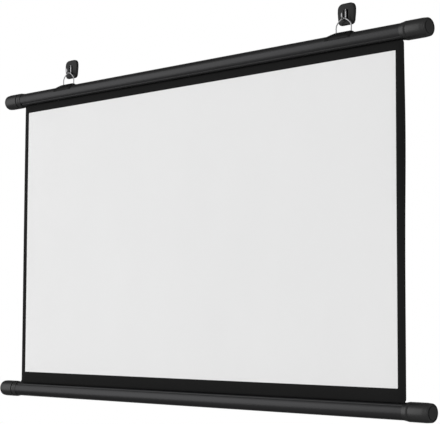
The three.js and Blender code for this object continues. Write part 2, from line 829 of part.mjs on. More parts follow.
// Roller, with the turns that never leave it and the pawls on its left plug
const roller = new THREE.Group();
roller.position.set(0, axisY, caseZ);
const rollerTube = ringX(rollerBore, rollerRadius, -halfRoller, halfRoller, rollerSides);
roller.add(node("roller_tube", rollerTube, steel));
const turns = ringX(rollerRadius + seatGap, leaderRadius, -halfFabric, halfFabric, rollerSides);
roller.add(node("wound_leader", turns, blackFabric));
roller.add(node("pawl_plug", pawlPlug(), nylon));
roller.add(node("idle_plug", idlePlug(), nylon));
const pinEndX = halfShell + spindleOverhang;
roller.add(node("idle_pin", rodX(spindleRadius, -plugInnerX, pinEndX, spindleSides), steel));
const steady = ringX(spindleRadius + runGap, rollerBore - seatGap, bushStartX, bushEndX, rollerSides);
roller.add(node("spindle_bush", steady, nylon));
for (const [name, turn] of [["upper", 0], ["lower", Math.PI]]) {
  const lock = new THREE.Group();
  lock.rotation.x = turn;
  const pivot = new THREE.Group();
  pivot.position.set(0, pawlPivotY, pawlPivotZ);
  pivot.add(node(`${name}_pawl`, pawl(pawlStartX, pawlEndX), steel));
  pivot.add(node(`${name}_pawl_pin`, pawlPin(pinHeadX, flangeX + flangeThickness), steel));
  lock.add(pivot);
  roller.add(lock);
}
group.add(roller);

// Weight bar: the same extrusion turned over, with its slot at the top
const bar = new THREE.Group();
bar.position.set(0, axisY, barZ);
const turnedOver = new THREE.Group();
turnedOver.rotation.y = Math.PI;
turnedOver.add(node("bar_tube", shellTube([]), blackMetal));
bar.add(turnedOver);
bar.add(node("fabric_hem", fabricHem(), blackFabric));
const hemRod = rodX(hemRodRadius, -halfFabric, halfFabric, hemSteps).translate(0, hemY, hemZ);
bar.add(node("hem_rod", hemRod, nylon));
const ballastZ = -shellInnerRadius + seatGap + ballastRadius;
const halfBallast = halfFabric - ballastMargin;
const ballast = rodX(ballastRadius, -halfBallast, halfBallast, ballastSides);
bar.add(node("ballast_rod", ballast.translate(0, 0, ballastZ), steel));
group.add(bar);

// Collars, knobs and their screws, alike on the case and on the bar
for (const [owner, name] of [[screenCase, "case"], [bar, "bar"]]) {
  for (const [side, sign] of [["left", -1], ["right", 1]]) {
    owner.add(node(`${side}_${name}_collar`, collar(sign), black));
    owner.add(node(`${side}_${name}_end_knob`, knob(sign), black));
    const fastener = screw(knobScrewLength).translate(0, 0, knobScrewTopY);
    owner.add(node(`${side}_${name}_knob_screw`, fromBehind(fastener, sign * knobScrewX), steel));
  }
}

console.log(`ring tilt ${THREE.MathUtils.radToDeg(ringTilt)} degrees, ring height ${ringHeight}`);
console.log(`case axis y ${axisY} z ${caseZ}, ring pivot y ${pivotY} z ${pivotZ}`);
console.log(`hook seat y ${seatY} z ${-ringApexDrop}`);
console.log(`white area z ${whiteTopZ} to ${whiteBottomZ}, bar axis z ${barZ}, overall half length ${knobEnd}`);
console.log(`bar travel ${barTravel}, roller turns ${rollTurns}, ratio ${(2000 * Math.PI * rollTurns) / barTravel}`);
console.log(`pawl pivot y ${axisY + pawlPivotY} z ${caseZ + pawlPivotZ}, lower y ${axisY - pawlPivotY}`);
console.log(`sheet z ${caseZ + sheetTop} to ${caseZ + sheetBottom}, hem top z ${barZ + hemTop}`);

export default group;
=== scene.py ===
import json
from math import asin, cos, exp, pi, radians, sin, sqrt

import bmesh
import bpy
from mathutils import Matrix, Vector


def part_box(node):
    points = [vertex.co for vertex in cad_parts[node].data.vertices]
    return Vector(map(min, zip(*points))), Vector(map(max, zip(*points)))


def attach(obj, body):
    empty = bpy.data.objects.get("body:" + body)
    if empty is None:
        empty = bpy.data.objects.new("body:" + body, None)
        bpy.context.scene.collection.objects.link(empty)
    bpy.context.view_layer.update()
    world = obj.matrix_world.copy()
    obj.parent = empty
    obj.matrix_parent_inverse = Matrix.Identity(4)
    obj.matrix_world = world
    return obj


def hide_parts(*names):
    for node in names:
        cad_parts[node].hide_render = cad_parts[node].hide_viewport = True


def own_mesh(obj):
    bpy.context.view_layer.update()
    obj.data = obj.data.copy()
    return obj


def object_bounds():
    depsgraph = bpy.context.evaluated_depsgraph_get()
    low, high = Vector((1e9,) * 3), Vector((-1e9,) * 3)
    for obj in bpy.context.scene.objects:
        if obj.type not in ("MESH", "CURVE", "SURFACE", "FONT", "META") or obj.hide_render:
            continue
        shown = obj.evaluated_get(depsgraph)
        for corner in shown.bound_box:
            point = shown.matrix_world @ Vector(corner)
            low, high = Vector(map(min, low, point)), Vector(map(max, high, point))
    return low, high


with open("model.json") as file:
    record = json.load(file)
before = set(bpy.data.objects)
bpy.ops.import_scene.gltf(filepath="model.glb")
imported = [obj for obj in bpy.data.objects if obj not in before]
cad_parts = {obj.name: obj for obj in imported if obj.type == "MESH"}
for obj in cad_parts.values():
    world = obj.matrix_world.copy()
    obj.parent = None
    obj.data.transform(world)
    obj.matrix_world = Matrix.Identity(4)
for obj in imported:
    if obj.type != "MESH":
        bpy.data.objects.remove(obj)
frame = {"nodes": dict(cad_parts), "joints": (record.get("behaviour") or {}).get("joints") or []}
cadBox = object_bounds()
nodes = frame["nodes"]
joints = {joint["name"]: joint for joint in frame["joints"]}
sides = {"left": -1, "right": 1}
owners = {"case": "case", "bar": "weight_bar"}  # what wears a tube and caps, and its body
print("frame loaded:", len(nodes), "nodes")


# Camera at the photograph's viewing angle
view = {
    "place": (2.97805, -2.90231, -0.85861),
    "azimuth": radians(44.621),
    "elevation": radians(-4.6732),
    "roll": radians(0.2303),
    "focalPixels": 1357.85,
    "framePixels": 440,
    "sensor": 36,
    "reach": 100,
}


def makeCamera():
    azimuth, elevation, roll = view["azimuth"], view["elevation"], view["roll"]
    back = Vector((sin(azimuth) * cos(elevation), -cos(azimuth) * cos(elevation), sin(elevation)))
    level = Vector((cos(azimuth), sin(azimuth), 0))
    upright = back.cross(level)
    across = level * cos(roll) + upright * sin(roll)
    above = upright * cos(roll) - level * sin(roll)
    data = bpy.data.cameras.new("camera")
    data.sensor_fit = "HORIZONTAL"
    data.sensor_width = view["sensor"]
    data.lens = view["focalPixels"] / view["framePixels"] * view["sensor"]
    data.clip_end = view["reach"]
    camera = bpy.data.objects.new("camera", data)
    turn = Matrix((across, above, back)).transposed().to_4x4()
    camera.matrix_world = Matrix.Translation(view["place"]) @ turn
    bpy.context.collection.objects.link(camera)
    bpy.context.scene.camera = camera


makeCamera()
print("camera placed")


def mathNode(operation, swapped=False):
    def apply(self, other):
        values = {0: other, 1: self} if swapped else {0: self, 1: other}
        return self.owner.node("ShaderNodeMath", values, operation=operation)

    return apply


# One socket of a node tree, so that sums in it are written as plain sums
class Socket:
    __add__ = __radd__ = mathNode("ADD")
    __mul__ = __rmul__ = mathNode("MULTIPLY")
    __sub__, __rsub__ = mathNode("SUBTRACT"), mathNode("SUBTRACT", swapped=True)

    def __init__(self, owner, socket):
        self.owner = owner
        self.socket = socket


class Tree:
    def __init__(self, tree):
        self.tree = tree
        tree.nodes.clear()

    # Every node comes from here; a list of links goes into one socket
    def node(self, kind, values=None, out=0, **settings):
        made = self.tree.nodes.new(kind)
        for key, value in settings.items():
            setattr(made, key, value)
        for key, value in (values or {}).items():
            for each in value if isinstance(value, list) else [value]:
                if isinstance(each, Socket):
                    self.tree.links.new(each.socket, made.inputs[key])
                else:
                    made.inputs[key].default_value = each
        return Socket(self, made.outputs[out]) if made.outputs else None


class Look(Tree):
    def __init__(self, name, world=None):
        self.material = world or bpy.data.materials.new(name)
        self.material.use_nodes = True
        super().__init__(self.material.node_tree)

    # A pattern's coordinates in metres, drawn out along an axis where its scale is small
    def coordinates(self, scale=(1, 1, 1)):
        plain = self.node("ShaderNodeTexCoord", out="Object")
        return self.node("ShaderNodeMapping", {"Vector": plain, "Scale": scale})

    def noise(self, perMetre, detail=2.0, roughness=0.5):
        scale = perMetre if isinstance(perMetre, tuple) else (perMetre,) * 3
        values = {"Vector": self.coordinates(scale), "Scale": 1.0, "Detail": detail, "Roughness": roughness}
        return self.node("ShaderNodeTexNoise", values)

    def cells(self, perMetre, out):
        values = {"Vector": self.coordinates(), "Scale": perMetre}
        return self.node("ShaderNodeTexVoronoi", values, out, feature="F1")

    def step(self, value, low, high):
        values = {"Value": value, "From Min": low, "From Max": high}
        return self.node("ShaderNodeMapRange", values, interpolation_type="SMOOTHSTEP")

    def tint(self, factor, first, second):
        return self.node("ShaderNodeMix", {0: factor, 6: first, 7: second}, 2, data_type="RGBA")

    def bump(self, height, depth, strength=1.0):
        return self.node("ShaderNodeBump", {"Height": height, "Distance": depth, "Strength": strength})

    # Edges that stand out get rubbed, but not everywhere alike
    def rubbed(self, patches, low, high):
        edge = self.node("ShaderNodeAttribute", out="Fac", attribute_name="wear")
        return edge * self.step(patches, low, high)

    def surface(self, **values):
        named = {key.replace("_", " "): value for key, value in values.items()}
        shader = self.node("ShaderNodeBsdfPrincipled", named)
        self.node("ShaderNodeOutputMaterial", {"Surface": shader})
        return self.material


# A colour written as it is read off a picture, from 0 to 255, in linear light
def shade(red, green=None, blue=None):
    levels = [red, red if green is None else green, red if blue is None else blue]
    return (*[((level / 255 + 0.055) / 1.055) ** 2.4 for level in levels], 1)


dullEdge = (0.45, 0.45, 0.45, 1)  # keeps a dark metallic finish dull where it is seen edge on


# Black anodised aluminium with faint die lines along the tube
def tubePaint():
    look = Look("tubePaint")
    grain = look.noise(1900, 3)
    drawn = look.noise((5, 1300, 1300), 2)
    cloud = look.noise((3, 14, 14), 3)
    dark = look.tint(cloud, shade(40), shade(44, 44, 45))
    worn = look.rubbed(look.noise(90, 4), 0.56, 0.7)
    return look.surface(
        Base_Color=look.tint(worn * 0.4, dark, shade(96, 97, 99)),
        Metallic=1.0,
        Roughness=0.33 + 0.06 * cloud + 0.04 * grain,
        Normal=look.bump(grain * 0.5 + drawn * 0.5, 0.00001, 0.25),
        Specular_Tint=dullEdge,
    )


# Black moulded plastic with a fine spark-eroded grain
def mouldedPlastic(name, level, grainPerMetre, roughness):
    look = Look(name)
    grain = look.noise(grainPerMetre, 4, 0.62)
    cloud = look.noise(22, 3)
    dark = look.tint(cloud, shade(level), shade(level + 4))
    worn = look.rubbed(look.noise(260, 4), 0.5, 0.72)
    return look.surface(
        Base_Color=look.tint(worn * 0.35, dark, shade(level + 40)),
        Metallic=1.0,
        Roughness=roughness + 0.08 * cloud + 0.06 * grain - worn * 0.1,
        Normal=look.bump(grain, 0.00001, 0.3),
        Specular_Tint=dullEdge,
    )


# Satin bent steel, brushed, with a little haze
def brightSteel(name, level):
    look = Look(name)
    brushed = look.noise((700, 2600, 700), 2)
    haze = look.noise(160, 4)
    return look.surface(
        Base_Color=look.tint(look.step(haze, 0.35, 0.7), shade(level, level, level + 2), shade(level - 10)),
        Metallic=1.0,
        Roughness=0.3 + 0.12 * haze + 0.06 * brushed,
        Normal=look.bump(brushed, 0.00002, 0.4),
    )


# Zinc-plated steel with its crystal patches
def zincSteel():
    look = Look("zincSteel")
    patch = look.node("ShaderNodeRGBToBW", {"Color": look.cells(240.0, "Color")})
    scuff = look.noise((60, 900, 900), 4)
    return look.surface(
        Base_Color=look.tint(patch, shade(160, 163, 166), shade(190, 192, 193)),
        Metallic=1.0,
        Roughness=0.32 + 0.12 * patch + 0.12 * scuff,
        Normal=look.bump(patch * 0.3 + scuff * 0.7, 0.00002, 0.4),
    )


def nylonMoulding():
    look = Look("nylonMoulding")
    grain = look.noise(1200, 3)
    cloud = look.noise(60, 3)
    return look.surface(
        Base_Color=look.tint(cloud, shade(216, 213, 201), shade(228, 225, 214)),
        Roughness=0.4 + 0.12 * cloud + 0.08 * grain,
        Normal=look.bump(grain, 0.00004, 0.5),
    )


def foamPad():
    look = Look("foamPad")
    cells = look.cells(1900.0, "Distance")
    cloud = look.noise(120, 3)
    return look.surface(
        Base_Color=look.tint(cloud, shade(196, 196, 193), shade(212, 212, 209)),
        Roughness=0.75 + 0.2 * cells,
        Normal=look.bump(cells, 0.0002, 0.8),
    )


# Coated glass-fibre cloth: two sets of threads under a thin coating
def cloth(name, low, high, roughness, threadsPerMetre=1150):
    look = Look(name)
    plain = look.coordinates()

    def threads(direction):
        values = {"Vector": plain, "Scale": threadsPerMetre / pi / 2, "Distortion": 0.6, "Detail": 1.0}
        return look.node("ShaderNodeTexWave", values, wave_profile="SIN", bands_direction=direction)

    weft, warp = threads("Z"), threads("X")
    coat = look.noise(2600, 3)
    cloud = look.noise((5, 5, 2), 3)
    return look.surface(
        Base_Color=look.tint(cloud, shade(*low), shade(*high)),
        Roughness=roughness + 0.08 * coat,
        Normal=look.bump(weft * warp + coat * 0.5, 0.00005, 0.35),
        Specular_IOR_Level=0.02,
    )


looks = {
    "tube": tubePaint(),
    "cap": mouldedPlastic("capPlastic", 45, 1500, 0.32),
    "hook": mouldedPlastic("hookPlastic", 31, 1100, 0.36),
    "saddle": mouldedPlastic("saddlePlastic", 26, 1100, 0.4),
    "bright": brightSteel("brightSteel", 116),
    "ring": brightSteel("ringSteel", 134),
    "zinc": zincSteel(),
    "nylon": nylonMoulding(),
    "foam": foamPad(),
    "white": cloth("whiteCloth", (228,), (231,), 0.8),
    "border": cloth("borderCloth", (28,), (31,), 0.85),
    "back": cloth("backCloth", (32,), (37,), 0.7),
}
print("materials made:", len(looks))


# Lines and meshes: from start to end in equal steps, both included
def spread(start, end, steps):
    return [start + (end - start) * i / steps for i in range(steps + 1)]


def arc(radius, start, end, steps, across=0.0, up=0.0):
    return [(across + radius * cos(turn), up + radius * sin(turn)) for turn in spread(start, end, steps)]


def circle(radius, turns):
    return arc(radius, 0, 2 * pi, turns)[:-1]


# The direction across a path at each of its points
def crossings(path):
    made = []
    for i in range(len(path)):
        along = (Vector(path[min(i + 1, len(path) - 1)]) - Vector(path[max(i - 1, 0)])).normalized()
        made.append(Vector((-along.y, along.x)))
    return made


# Rounds the corners of a closed outline: each point is (across, up, radius, steps), or bare where it stays
def softened(outline, most=0.49):
    made = []
    count = len(outline)
    for i, point in enumerate(outline):
        here = Vector(point[:2])
        if len(point) < 3:
            made.append(tuple(here))
            continue
        before = Vector(outline[i - 1][:2]) - here
        after = Vector(outline[(i + 1) % count][:2]) - here
        radius, steps = point[2], point[3]
        half = before.angle(after) / 2
        run = min(radius / abs(sin(half) / cos(half)), before.length * most, after.length * most)
        start, end = here + before.normalized() * run, here + after.normalized() * run
        for t in spread(0, 1, steps):
            made.append(tuple(start * (1 - t) ** 2 + here * 2 * t * (1 - t) + end * t ** 2))
    return made


def smooth(value, low, high):
    share = min(max((value - low) / (high - low), 0), 1)
    return share * share * (3 - 2 * share)


# How far each point stands on an edge that sticks out, for the rubbed places of a finish
def markWear(mesh, least=radians(12), full=radians(50)):
    form = bmesh.new()
    form.from_mesh(mesh)
    form.normal_update()
    amounts = []
    for point in form.verts:
        turns = [edge.calc_face_angle_signed(0) for edge in point.link_edges]
        amounts.append(min(max((max(turns, default=0) - least) / (full - least), 0), 1))
    form.free()
    mesh.attributes.new("wear", "FLOAT", "POINT").data.foreach_set("value", amounts)


def finishMesh(mesh, finish, crease=radians(32)):
    for look in finish if isinstance(finish, list) else [finish]:
        mesh.materials.append(looks[look])
    mesh.shade_smooth()
    mesh.set_sharp_from_angle(angle=crease)
    markWear(mesh)


def piece(name, mesh):
    made = bpy.data.objects.new(name, mesh)
    bpy.context.collection.objects.link(made)
    return made


def closeShell(mesh, weld=1e-6):
    form = bmesh.new()
    form.from_mesh(mesh)
    bmesh.ops.remove_doubles(form, verts=form.verts, dist=weld)
    bmesh.ops.recalc_face_normals(form, faces=form.faces)
    form.to_mesh(mesh)
    form.free()


# Takes the modifiers' result as the piece's own plain mesh
def settle(made, finish, close=False):
    bpy.context.view_layer.update()
    mesh = bpy.data.meshes.new_from_object(made.evaluated_get(bpy.context.evaluated_depsgraph_get()))
    made.modifiers.clear()
    old = made.data
    made.data = mesh
    bpy.data.meshes.remove(old)
    mesh.materials.clear()
    for extra in [each.name for each in mesh.attributes if each.name in ("wear", "aim", "reach")]:
        mesh.attributes.remove(mesh.attributes[extra])
    if close:
        closeShell(mesh)
    finishMesh(mesh, finish)
    return made


# Cuts closed meshes out of a piece, then drops the cutters
def carve(made, cutters, finish):
    for each in cutters:
        modifier = made.modifiers.new("cut", "BOOLEAN")
        modifier.object = each
        modifier.operation = "DIFFERENCE"
        modifier.solver = "EXACT"
    settle(made, finish)
    for each in cutters:
        bpy.data.objects.remove(each)
    return made


# Puts a piece on its body, in place of CAD nodes, which it hides
def seat(made, body, slot, *replaced):
    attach(made, body)
    if replaced:
        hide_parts(*replaced)
    return made


# Rings of points joined into a skin, its first and last ring closed by a face each
def skin(name, rings, finish, ends=True):
    count = len(rings[0])
    points = [point for ring in rings for point in ring]
    faces = []
    for i in range(len(rings) - 1):
        for j in range(count):
            k = (j + 1) % count
            faces.append((i * count + j, i * count + k, (i + 1) * count + k, (i + 1) * count + j))
    if ends:
        faces.append(tuple(range(count))[::-1])
        faces.append(tuple((len(rings) - 1) * count + j for j in range(count)))
    mesh = bpy.data.meshes.new(name)
    mesh.from_pydata(points, [], faces)
    closeShell(mesh)
    finishMesh(mesh, finish)
    return piece(name, mesh)


# A profile of (place along the axis, radius) turned round; place() puts each point where it belongs
def turned(name, profile, turns, finish, place, closed=False):
    rings = []
    for along, radius in profile + (profile[:1] if closed else []):
        rings.append([place(along, across, up) for across, up in circle(radius, turns)])
    return skin(name, rings, finish, ends=False)


def cutter(rings):
    return skin("cutter", rings, "cap")


# A round bar from one point to another, for holes
def rod(start, end, radius, turns=32):
    start, end = Vector(start), Vector(end)
    across = (end - start).orthogonal().normalized()
    up = (end - start).normalized().cross(across)
    return cutter([[place + across * y + up * z for y, z in circle(radius, turns)] for place in (start, end)])


# The outline of a strip of one thickness that follows a path
def ribbon(path, thickness):
    offs = [across * thickness / 2 for across in crossings(path)]
    return ([tuple(Vector(point) + off) for point, off in zip(path, offs)]
            + [tuple(Vector(point) - off) for point, off in zip(path, offs)][::-1])


def box(low, high):
    corners = [(low[1], low[2]), (high[1], low[2]), (high[1], high[2]), (low[1], high[2])]
    return cutter([[(x, y, z) for y, z in corners] for x in (low[0], high[0])])


def middleOf(node):
    low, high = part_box(node)
    return [(a + b) / 2 for a, b in zip(low, high)]


def axisOf(node):
    return middleOf(node)[1:]


# A shape that repeats or follows a path: a Geometry Nodes tree whose sizes are named inputs
class Pattern(Tree):
    kinds = {int: "NodeSocketInt", float: "NodeSocketFloat", bpy.types.Object: "NodeSocketObject"}

    def __init__(self, name, sizes):
        super().__init__(bpy.data.node_groups.new(name, "GeometryNodeTree"))
        face = self.tree.interface
        face.new_socket("Geometry", in_out="INPUT", socket_type="NodeSocketGeometry")
        self.values = {}
        for label, value in sizes.items():
            socket = face.new_socket(label, in_out="INPUT", socket_type=self.kinds[type(value)])
            self.values[socket.identifier] = value
        face.new_socket("Geometry", in_out="OUTPUT", socket_type="NodeSocketGeometry")
        self.start = self.tree.nodes.new("NodeGroupInput")

    def size(self, label):
        return Socket(self, self.start.outputs[label])

    # The wire's round section along a line
    def sweep(self, line):
        sizes = {"Resolution": self.size("sides"), "Radius": self.size("wire radius")}
        section = self.node("GeometryNodeCurvePrimitiveCircle", sizes)
        return self.node("GeometryNodeCurveToMesh", {"Curve": line, "Profile Curve": section, "Fill Caps": True})

    def run(self, made, shape, finish):
        whole = self.node("GeometryNodeRealizeInstances", {"Geometry": shape})
        done = self.node("GeometryNodeSetMaterial", {"Geometry": whole, "Material": looks[finish]})
        self.node("NodeGroupOutput", {"Geometry": done})
        modifier = made.modifiers.new(self.tree.name, "NODES")
        modifier.node_group = self.tree
        for identifier, value in self.values.items():
            modifier[identifier] = value
        return settle(made, finish, close=True)


# The round extrusion: case, and turned over as the weight bar
tube = {
    "radius": 0.023,
    "wall": 0.0014,
    "lipRadius": 0.0227,
    "lipWall": 0.0028,
    "lipEdge": (0.0006, 4),  # a corner: its radius and its steps
    "beadSink": 0.0007,  # how much deeper the bead starts at the groove
    "sinkPower": 3,
    "beadRound": 0.0009,  # and how much more its first edge rounds off
    "roundPower": 10,
    "thickBelow": 0.0124,  # how far under the axis the wall thickens
    "grooveBelow": 0.0154,
    "grooveWidth": 0.0034,
    "grooveDepth": 0.0024,
    "grooveEdge": (0.00025, 3),
    "floorSteps": 2,
    "slotFront": 0.0042,
    "slotRear": 0.0005,
    "steps": 96,
    "lipSteps": 24,
    "endStep": 0.003,
    "holeRadius": 0.0017,
    "holeRoom": 0.001,
}


# The section with its slot at the bottom, in metres from the axis: front is at -Y
def tubeOutline():
    radius, lip = tube["radius"], tube["lipRadius"]
    inner, lipInner = radius - tube["wall"], lip - tube["lipWall"]
    down = -pi / 2
    groove = asin(tube["grooveBelow"] / radius)
    half = tube["grooveWidth"] / 2 / radius
    thick = asin(tube["thickBelow"] / inner)
    floor = radius - tube["grooveDepth"]
    edge, lipEdge = tube["grooveEdge"], tube["lipEdge"]
    outline = []

    # One arc; sunk says at which end, 0 or 1, the bead starts lower
    def run(r, start, end, steps, first=(), last=(), sunk=None):
        points = []
        for share in spread(0, 1, steps):
            turn = start + (end - start) * share
            near = 0 if sunk is None else 1 - abs(share - sunk)
            here = r - tube["beadSink"] * near ** tube["sinkPower"]
            here -= tube["beadRound"] * near ** tube["roundPower"]
            points.append((here * cos(turn), here * sin(turn)))
        outline.append(points[0] + first)
        outline.extend(points[1:-1])
        outline.append(points[-1] + last)

    rear, front = asin(tube["slotRear"] / lip), asin(tube["slotFront"] / lip)
    rearIn, frontIn = asin(tube["slotRear"] / lipInner), asin(tube["slotFront"] / lipInner)
    run(lip, down + rear, -groove - half, tube["lipSteps"], lipEdge, edge, 1)
    run(floor, -groove - half, -groove + half, tube["floorSteps"], edge, edge)
    run(radius, -groove + half, pi + groove - half, tube["steps"], edge, edge)
    run(floor, pi + groove - half, pi + groove + half, tube["floorSteps"], edge, edge)
    run(lip, pi + groove + half, 3 * pi / 2 - front, tube["lipSteps"], edge, lipEdge, 0)
    run(lipInner, 3 * pi / 2 - frontIn, pi + thick, tube["lipSteps"], lipEdge)
    run(inner, pi + thick, -thick, tube["steps"])
    run(lipInner, -thick, down + rearIn, tube["lipSteps"], (), lipEdge)
    return softened(outline)


# A hole for a screw, along Y or Z and a little longer than the screw
def screwHole(node, axis):
    low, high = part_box(node)
    start, end = middleOf(node), middleOf(node)
    start[axis], end[axis] = low[axis] - tube["holeRoom"], high[axis] + tube["holeRoom"]
    return rod(start, end, tube["holeRadius"])


def makeTube(owner, body):
    node = f"{owner}_tube"
    low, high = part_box(node)
    y, z = axisOf(f"left_{owner}_end_knob")
    way = -1 if owner == "bar" else 1
    outline = [(y + across, z + up * way) for across, up in tubeOutline()]
    places = (low.x, low.x + tube["endStep"], high.x - tube["endStep"], high.x)
    made = skin(owner + "Extrusion", [[(x, across, up) for across, up in outline] for x in places], "tube")
    cutters = [screwHole(each, 1) for each in nodes if f"{owner}_knob_screw" in each]
    if owner == "case":
        cutters += [screwHole(each, 2) for each in nodes if "saddle_screw" in each]
    seat(carve(made, cutters, "tube"), body, "black_metal", node)


for owner, body in owners.items():
    makeTube(owner, body)
print("tubes drawn")


# Collars and end knobs, four alike
cap = {
    "radius": 0.0262,
    "bore": 0.0233,
    "lip": 0.0007,  # the collar's thickness at its mouth
    "flare": 0.0155,
    "flareSteps": 16,
    "edge": (0.0005, 4),
    "fallLength": 0.004,  # a collar's last stretch, which narrows to the seam
    "fall": 0.0012,
    "fallCorner": (0.02, 6),
    "faceRing": 0.019,  # a shallow ring round the face
    "ringWidth": 0.003,
    "ringFloor": 0.7,  # the flat part of its width
    "ringDepth": 0.0014,
    "taperLength": 0.017,
    "taper": 0.0011,
    "taperCorner": (0.06, 6),
    "rim": 0.0045,
    "rimSteps": 10,
    "dome": 0.0006,
    "domeSteps": 6,
    "wall": 0.0025,
    "shoulder": 0.0026,  # past the extrusion's end, where the bore narrows
    "turns": 112,
    "recessDepth": 0.0018,
    "recessRadius": 0.003,
    "recessRoom": 0.004,
    "holeRadius": 0.0017,
    "holeDepth": 0.008,
}


def collarProfile(start, end):
    bore, radius = cap["bore"], cap["radius"]
    mouth = bore + cap["lip"]
    profile = [(start, bore)]
    for share in spread(0, 1, cap["flareSteps"]):
        profile.append((start + cap["flare"] * share, mouth + (radius - mouth) * (1 - cos(pi * share)) / 2))
    profile.append((end - cap["fallLength"], radius) + cap["fallCorner"])
    profile.append((end, radius - cap["fall"]) + cap["edge"])
    profile.append((end, bore))
    return softened(profile)


def knobProfile(start, end, shoulder):
    radius, rim, bore = cap["radius"], cap["rim"], cap["bore"]
    hollow = bore - cap["wall"]
    inside = end - cap["dome"] - cap["wall"]
    endRadius = radius - cap["taper"]
    centre = end - cap["dome"] - rim
    outer = [(start, bore), (start, radius) + cap["edge"],
             (end - cap["taperLength"], radius) + cap["taperCorner"], (centre, endRadius)]
    profile = [(inside, 0), (inside, hollow), (shoulder, hollow), (shoulder, bore)] + softened(outer)[:-1]
    profile += [(centre + up, endRadius - rim + across) for across, up in arc(rim, 0, pi / 2, cap["rimSteps"])]
    flat = endRadius - rim
    ring, reach = cap["faceRing"], cap["ringWidth"] / 2
    floor = reach * cap["ringFloor"]
    for at, sunk in ((ring + reach, 0), (ring + floor, 1), (ring - floor, 1), (ring - reach, 0)):
        profile.append((end - cap["dome"] * (at / flat) ** 2 - cap["ringDepth"] * sunk, at))
    for at in spread(ring - reach, 0, cap["domeSteps"])[1:]:
        profile.append((end - cap["dome"] * (at / flat) ** 2, at))
    return profile


def makeCaps(owner, body, side, sign):
    name, collarNode, knobNode = side + owner.title(), f"{side}_{owner}_collar", f"{side}_{owner}_end_knob"
    y, z = axisOf(knobNode)

    def place(along, across, up):
        return sign * along, y + across, z + up

    def span(node):
        low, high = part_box(node)
        return (low.x, high.x) if sign > 0 else (-high.x, -low.x)

    profile = collarProfile(*span(collarNode))
    collar = turned(name + "Collar", profile, cap["turns"], "cap", place, closed=True)
    seat(collar, body, "black_plastic", collarNode)
    profile = knobProfile(*span(knobNode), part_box(f"{owner}_tube")[1].x + cap["shoulder"])
    knob = turned(name + "Knob", profile, cap["turns"], "cap", place)
    x = middleOf(f"{side}_{owner}_knob_screw")[0]
    back = y + cap["radius"]
    recess = rod((x, back - cap["recessDepth"], z), (x, back + cap["recessRoom"], z), cap["recessRadius"])
    hole = rod((x, back - cap["holeDepth"], z), (x, back, z), cap["holeRadius"])
    seat(carve(knob, [recess, hole], "cap"), body, "black_plastic", knobNode)


for owner, body in owners.items():
    for side, sign in sides.items():
        makeCaps(owner, body, side, sign)
print("collars and knobs turned")


# Saddles on top of the case, which the rings' feet turn in
saddle = {
    "length": 0.088,
    "rise": 0.006,
    "shift": 0.004,  # how far the outer arc's centre lies above the case's axis
    "gap": 0.0003,
    "wrap": radians(75),
    "leftSlope": 0.034,  # over which its ends rise
    "rightSlope": 0.011,
    "slopeSteps": 14,
    "slopePower": 1.1,
    "lip": 0.0007,
    "edge": 0.0012,
    "edgeSteps": 3,
    "steps": 44,
    "ringHalf": 0.027,
    "pocketHalfX": 0.0025,
    "pocketHalfY": 0.005,
    "pocketSink": 0.002,  # how far the pocket's floor lies inside the tube
    "boreRadius": 0.002,
    "foot": 0.0069,
    "grooveHalf": 0.0023,
    "grooveDepth": 0.0032,
    "grooveStart": radians(70),
    "grooveEnd": radians(146),
    "grooveSteps": 24,
    "grooveRoom": 0.004,
    "screwX": 0.010,
    "screwRecess": 0.0018,
    "screwDepth": 0.009,
    "room": 0.002,  # how far the cutters stand out at the top
}


def saddleOutline(height):
    radius = tube["radius"] + saddle["gap"]
    outer = tube["radius"] + saddle["rise"] - saddle["shift"]
    start, end = pi / 2 - saddle["wrap"], pi / 2 + saddle["wrap"]
    inner = arc(radius, start, end, saddle["steps"])
    full = arc(outer, end, start, saddle["steps"], 0, saddle["shift"])
    low = arc(radius + saddle["lip"], end, start, saddle["steps"])
    blend = [tuple(Vector(a).lerp(Vector(b), height)) for a, b in zip(low, full)]
    for end in (0, -1):
        blend[end] += (saddle["edge"] * height, saddle["edgeSteps"])
    return softened(inner + blend)


